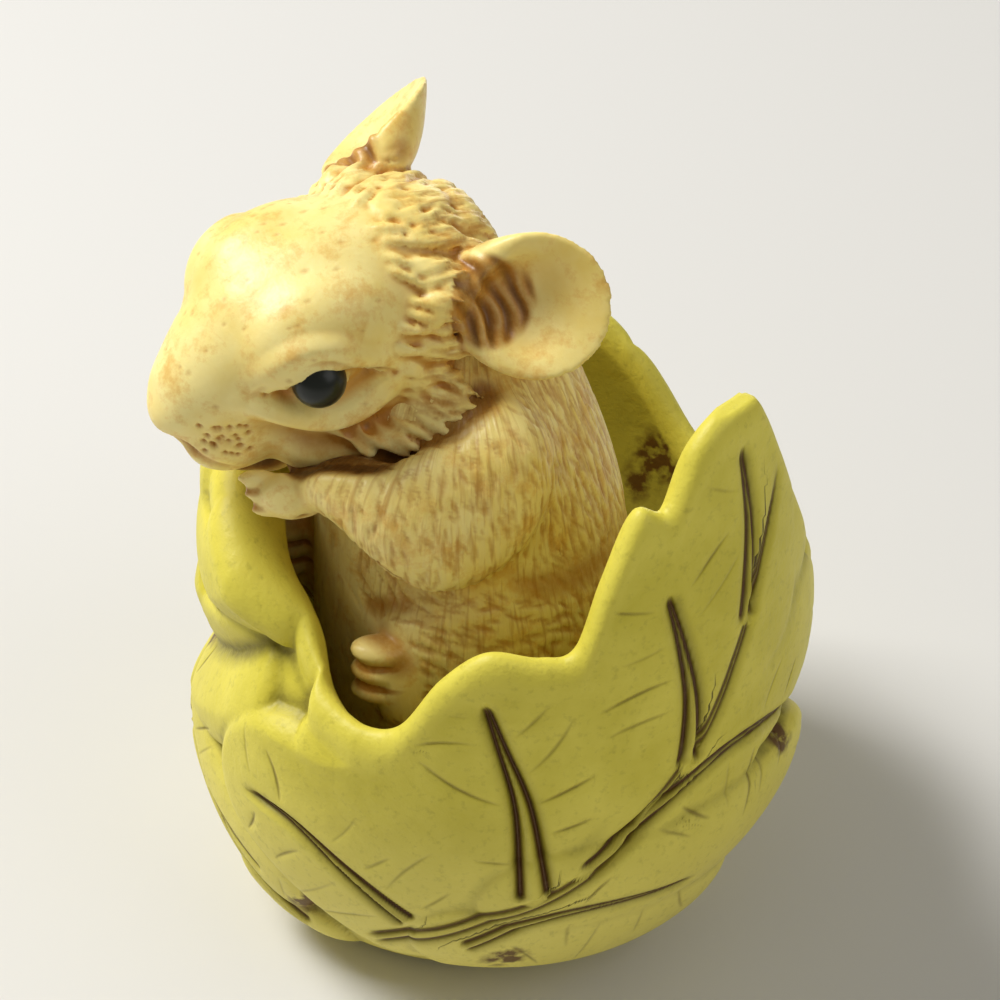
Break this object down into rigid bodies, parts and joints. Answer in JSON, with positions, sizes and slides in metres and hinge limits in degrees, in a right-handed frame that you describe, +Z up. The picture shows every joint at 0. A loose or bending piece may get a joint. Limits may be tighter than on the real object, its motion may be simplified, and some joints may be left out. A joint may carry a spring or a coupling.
{
  "type": "mouse figurine",
  "caption": "Small cast resin ornament: a baby mouse with its paws to its chin, sitting up in a cup of lobed, veined leaves.",
  "frame": {"origin": "centre of the flat foot under the leaf cup, on the surface that it stands on", "axes": "+Z up; the mouse faces -Y, so its own left side is +X"},
  "size_m": [0.0514, 0.0522, 0.0653],
  "materials": {
    "leaf": "matte cast marble resin stained yellow-green, olive in the hollows and dark brown in the veins",
    "ivory": "satin cast marble resin, ivory, with a brown wash rubbed into the carved fur",
    "bead": "glossy near-black round bead"
  },
  "bodies": {
    "root": {"leaf_cup": "leaf", "mouse": "ivory", "left_eye": "bead", "right_eye": "bead"}
  },
  "joints": []
}
